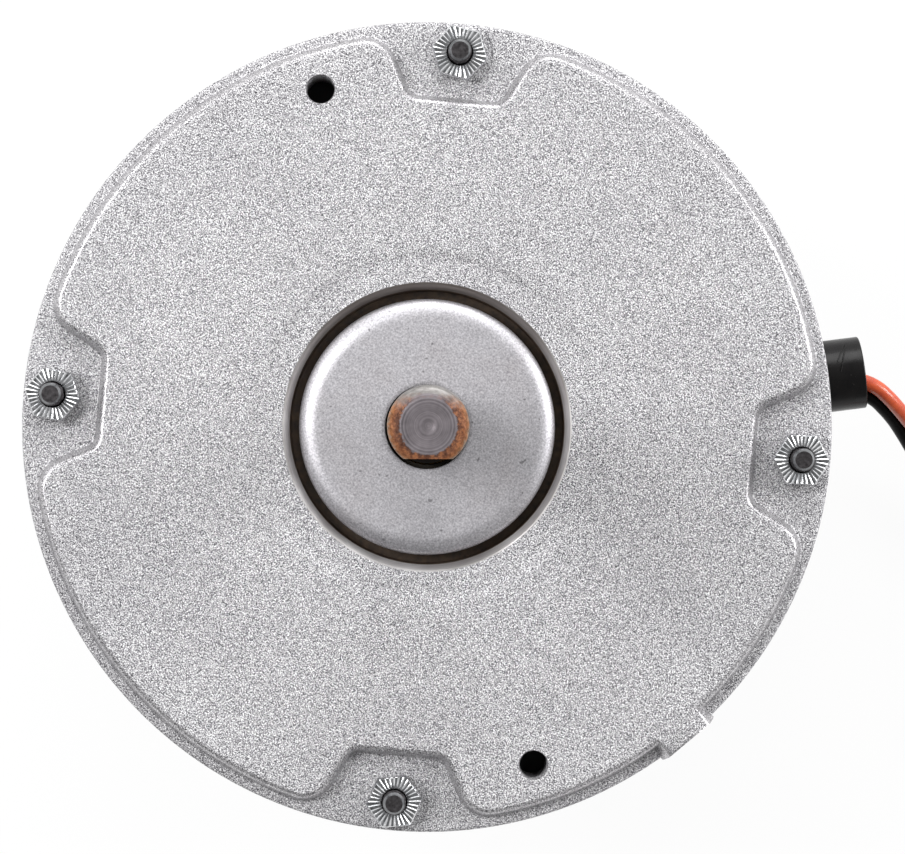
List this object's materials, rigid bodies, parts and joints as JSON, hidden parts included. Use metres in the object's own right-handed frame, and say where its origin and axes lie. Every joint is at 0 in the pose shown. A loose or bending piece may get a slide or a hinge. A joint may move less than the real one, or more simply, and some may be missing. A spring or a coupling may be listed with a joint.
{
  "type": "combustion fan motor",
  "caption": "Round combustion fan drive motor with a flatted shaft, grained end shields, stud mounting and coiled leads.",
  "frame": {"origin": "centre of the motor's footprint, on the rear end shield's raised face, on the shaft's axis", "axes": "+Z along the shaft towards the fan wheel's seat; the through bolts lie on the X and Y axes, and the leads leave towards +X"},
  "size_m": [0.2297, 0.143, 0.2159],
  "materials": {
    "cast_aluminium": "grained casting",
    "pressed_steel": "fine matt",
    "shaft_steel": "turned, with rust on the chamfer",
    "shell_paint": "satin",
    "bolt_steel": "black oxide",
    "zinc_plate": "bright zinc",
    "laminations": "edge of stacked sheet",
    "enamelled_copper": "varnished",
    "rotor_aluminium": "die cast",
    "bronze": "sintered",
    "felt": "oiled felt",
    "fibre": "pressed fibre",
    "governor_steel": "zinc dipped",
    "phenolic": "moulded",
    "contact_silver": "silver",
    "protector_case": "moulded",
    "label_foil": "satin foil, blank",
    "black_rubber": "glossy",
    "orange_insulation": "extruded",
    "black_insulation": "extruded",
    "terminal_nylon": "moulded nylon"
  },
  "bodies": {
    "motor_housing": {"coil_tie": "black_insulation", "front_bearing": "bronze", "front_bearing_cap": "pressed_steel", "front_bearing_retainer": "pressed_steel", "front_end_shield": "cast_aluminium", "front_oil_wick": "felt", "lead_black": "black_insulation", "lead_coil": "orange_insulation", "lead_orange": "orange_insulation", "lead_sleeve": "black_rubber", "lead_tail_black": "black_insulation", "lead_tail_orange": "orange_insulation", "rating_label": "label_foil", "rear_bearing": "bronze", "rear_bearing_cap": "pressed_steel", "rear_bearing_retainer": "pressed_steel", "rear_end_shield": "cast_aluminium", "rear_oil_wick": "felt", "stator_core": "laminations", "stator_shell": "shell_paint", "stator_winding": "enamelled_copper", "stud_nut_1": "zinc_plate", "stud_nut_2": "zinc_plate", "stud_nut_3": "zinc_plate", "stud_nut_4": "zinc_plate", "switch_board": "phenolic", "switch_bracket": "zinc_plate", "switch_contact": "contact_silver", "switch_post_1": "rotor_aluminium", "switch_post_2": "rotor_aluminium", "switch_screw_1": "zinc_plate", "switch_screw_2": "zinc_plate", "terminal_black": "terminal_nylon", "terminal_orange": "terminal_nylon", "thermal_protector": "protector_case", "through_bolt_1": "bolt_steel", "through_bolt_2": "bolt_steel", "through_bolt_3": "bolt_steel", "through_bolt_4": "bolt_steel"},
    "rotor": {"shaft": "shaft_steel", "rotor_core": "laminations", "rotor_cage": "rotor_aluminium", "front_thrust_washer": "fibre", "rear_thrust_washer": "fibre", "governor_plate": "governor_steel", "governor_pin_1": "governor_steel", "governor_pin_2": "governor_steel"},
    "collar": {"governor_collar": "phenolic", "governor_spring": "governor_steel"},
    "weight_1": {"governor_weight_1": "zinc_plate"},
    "weight_2": {"governor_weight_2": "zinc_plate"},
    "switch_lever": {"switch_arm": "bronze"}
  },
  "joints": [
    {"name": "rotor_spin", "type": "hinge", "parent": "motor_housing", "child": "rotor", "pos_m": [0, 0, 0.068], "axis": [0, 0, 1], "continuous": true},
    {"name": "governor_slide", "type": "slide", "parent": "rotor", "child": "collar", "axis": [0, 0, 1], "range_m": [0, 0.003], "stiffness_N_per_m": 300, "springref_m": -0.004, "deforming": ["governor_spring"]},
    {"name": "weight_1_swing", "type": "hinge", "parent": "rotor", "child": "weight_1", "pos_m": [0, 0.019, 0.0329], "axis": [-1, 0, 0], "range_deg": [0, 21.5]},
    {"name": "weight_2_swing", "type": "hinge", "parent": "rotor", "child": "weight_2", "pos_m": [0, -0.019, 0.0329], "axis": [1, 0, 0], "range_deg": [0, 21.5]},
    {"name": "switch_lever_swing", "type": "hinge", "parent": "motor_housing", "child": "switch_lever", "pos_m": [-0.038, 0, 0.0199], "axis": [0, -1, 0], "range_deg": [0, 6.25]}
  ],
  "couplings": [
    {"joint": "weight_1_swing", "follows": "governor_slide", "rad_per_m": 125},
    {"joint": "weight_2_swing", "follows": "governor_slide", "rad_per_m": 125},
    {"joint": "switch_lever_swing", "follows": "governor_slide", "rad_per_m": 36.2}
  ]
}
